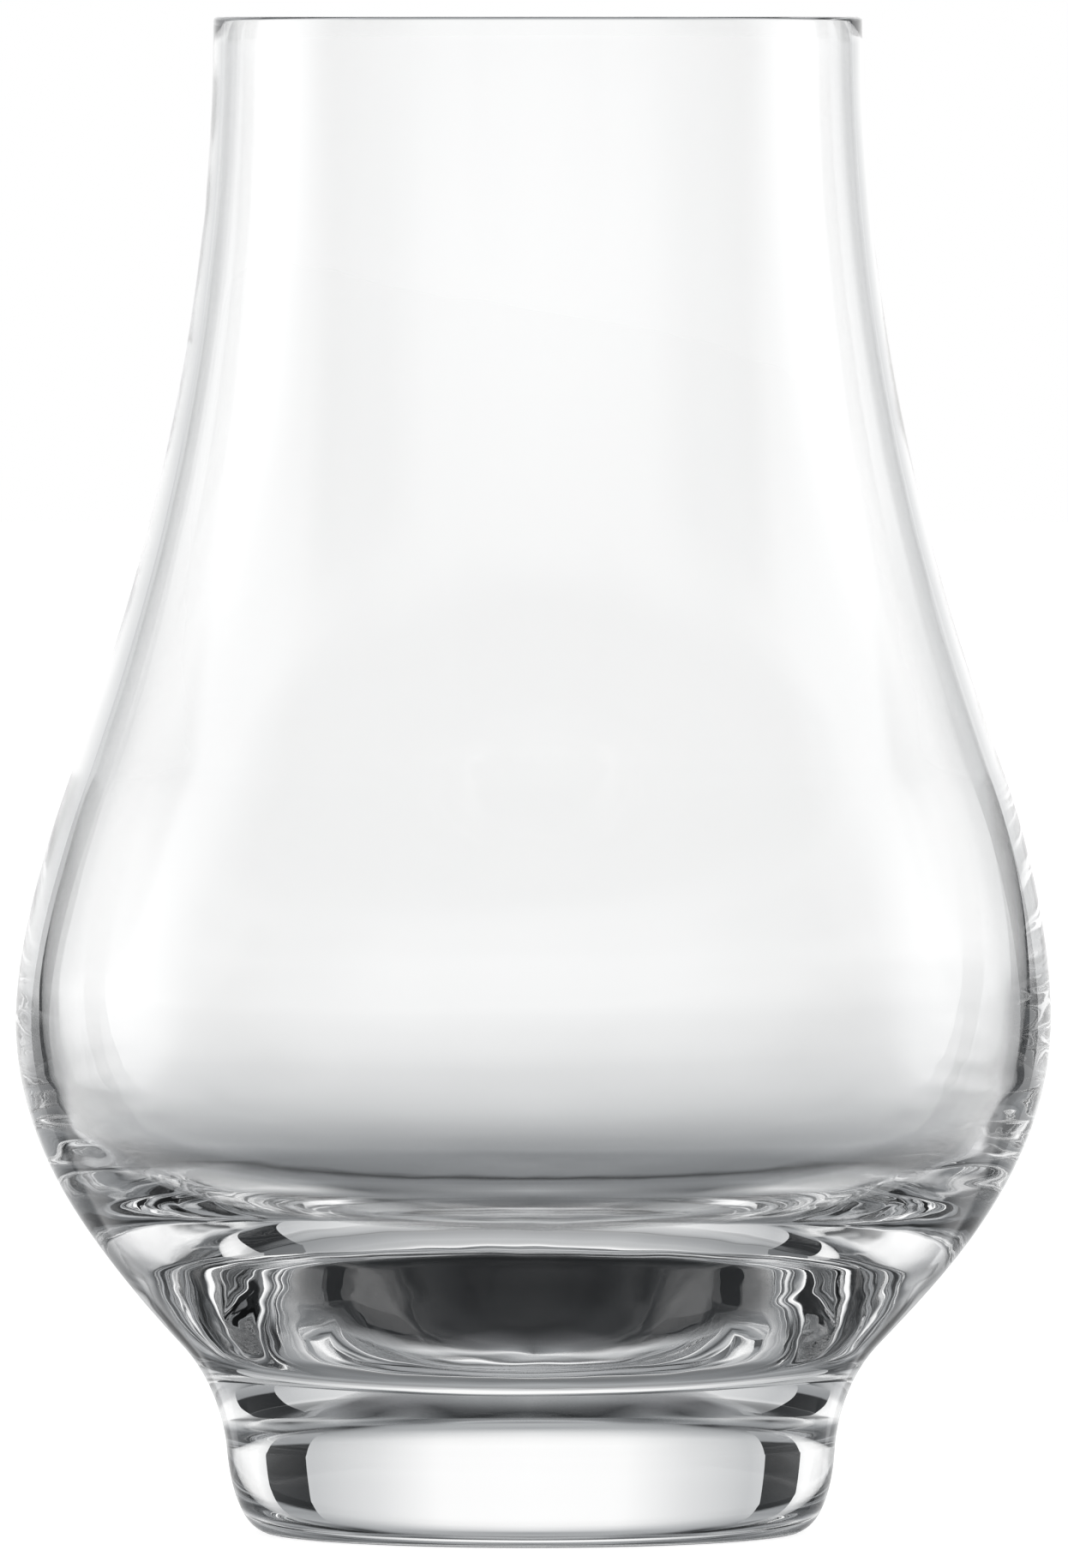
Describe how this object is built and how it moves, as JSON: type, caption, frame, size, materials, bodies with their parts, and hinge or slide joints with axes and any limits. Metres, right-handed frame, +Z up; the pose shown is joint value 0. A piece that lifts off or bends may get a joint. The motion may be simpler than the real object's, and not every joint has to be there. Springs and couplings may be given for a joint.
{
  "type": "whisky nosing glass",
  "caption": "Clear crystal tumbler for nosing spirits: tulip bowl with a narrow upright mouth and a wide low belly, thick solid bottom, short waisted foot.",
  "frame": {"origin": "centre of the resting ring, on the plane that the glass stands on", "axes": "+Z up along the axis of the glass, towards the mouth; the glass is round, so X and Y are any two level directions"},
  "size_m": [0.082, 0.082, 0.12],
  "materials": {
    "glass": "clear fire-polished crystal"
  },
  "bodies": {
    "root": {"bowl": "glass", "foot": "glass"}
  },
  "joints": []
}
